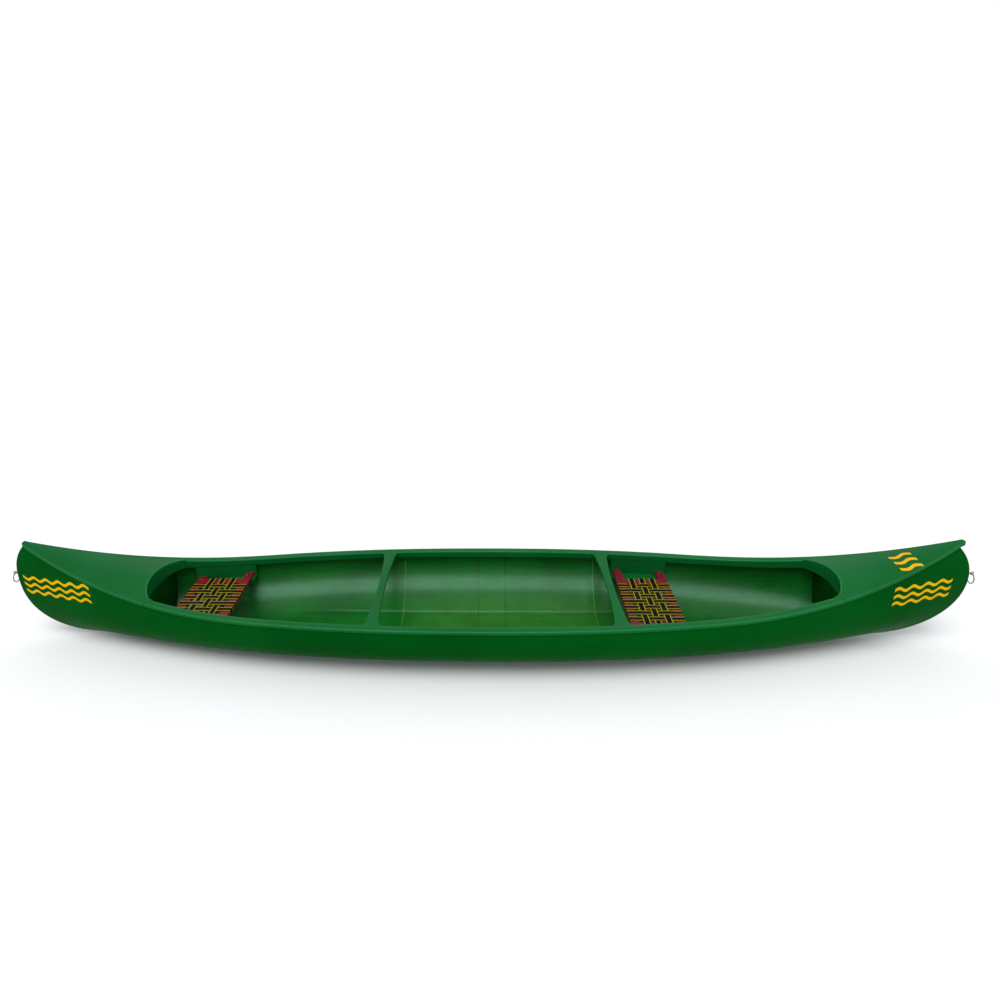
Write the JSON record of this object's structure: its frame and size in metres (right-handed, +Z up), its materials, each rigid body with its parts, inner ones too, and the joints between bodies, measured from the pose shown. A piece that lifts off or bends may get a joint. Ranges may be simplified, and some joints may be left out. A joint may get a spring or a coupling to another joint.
{
  "type": "canoe",
  "caption": "Open touring canoe of moulded laminate with end decks, thwarts, woven web seats on side brackets and a steel painter ring at each stem.",
  "frame": {"origin": "on the centre plane, midway between the outermost points of the two painter eyes, level with the lowest faces of the keel ribs", "axes": "+X forward along the canoe to the bow, +Y to port, +Z up"},
  "size_m": [5.205, 0.9038, 0.5975],
  "materials": {
    "gelcoat": "glossy green moulded laminate",
    "dark_gelcoat": "dark green moulded laminate, satin",
    "red_wood": "wood painted dark red, satin",
    "webbing": "black woven webbing with yellow edge stripes",
    "steel": "bright stainless steel"
  },
  "bodies": {
    "canoe": {"hull": "gelcoat", "port_gunwale": "gelcoat", "starboard_gunwale": "gelcoat", "bow_deck": "gelcoat", "stern_deck": "gelcoat", "bow_bulkhead": "dark_gelcoat", "stern_bulkhead": "dark_gelcoat", "bow_thwart": "gelcoat", "stern_thwart": "gelcoat", "bow_seat_port_bracket": "gelcoat", "bow_seat_starboard_bracket": "gelcoat", "stern_seat_port_bracket": "gelcoat", "stern_seat_starboard_bracket": "gelcoat", "bow_seat_frame": "red_wood", "stern_seat_frame": "red_wood", "bow_seat_long_strap_1": "webbing", "bow_seat_long_strap_2": "webbing", "bow_seat_long_strap_3": "webbing", "bow_seat_long_strap_4": "webbing", "bow_seat_long_strap_5": "webbing", "bow_seat_long_strap_6": "webbing", "bow_seat_long_strap_7": "webbing", "bow_seat_cross_strap_1": "webbing", "bow_seat_cross_strap_2": "webbing", "bow_seat_cross_strap_3": "webbing", "stern_seat_long_strap_1": "webbing", "stern_seat_long_strap_2": "webbing", "stern_seat_long_strap_3": "webbing", "stern_seat_long_strap_4": "webbing", "stern_seat_long_strap_5": "webbing", "stern_seat_cross_strap_1": "webbing", "stern_seat_cross_strap_2": "webbing", "stern_seat_cross_strap_3": "webbing", "bow_seat_port_aft_screw": "steel", "bow_seat_port_aft_nut": "steel", "bow_seat_port_fore_screw": "steel", "bow_seat_port_fore_nut": "steel", "bow_seat_starboard_aft_screw": "steel", "bow_seat_starboard_aft_nut": "steel", "bow_seat_starboard_fore_screw": "steel", "bow_seat_starboard_fore_nut": "steel", "stern_seat_port_aft_screw": "steel", "stern_seat_port_aft_nut": "steel", "stern_seat_port_fore_screw": "steel", "stern_seat_port_fore_nut": "steel", "stern_seat_starboard_aft_screw": "steel", "stern_seat_starboard_aft_nut": "steel", "stern_seat_starboard_fore_screw": "steel", "stern_seat_starboard_fore_nut": "steel", "bow_stem_eye": "steel", "stern_stem_eye": "steel", "bow_stem_nut": "steel", "stern_stem_nut": "steel"},
    "bow_painter_ring": {"bow_ring": "steel"},
    "stern_painter_ring": {"stern_ring": "steel"}
  },
  "joints": [
    {"name": "bow_ring_swing", "type": "hinge", "parent": "canoe", "child": "bow_painter_ring", "pos_m": [2.592, 0, 0.4039], "axis": [0, -1, 0], "range_deg": [-4, 165]},
    {"name": "stern_ring_swing", "type": "hinge", "parent": "canoe", "child": "stern_painter_ring", "pos_m": [-2.592, 0, 0.4039], "axis": [0, 1, 0], "range_deg": [-4, 165]}
  ]
}
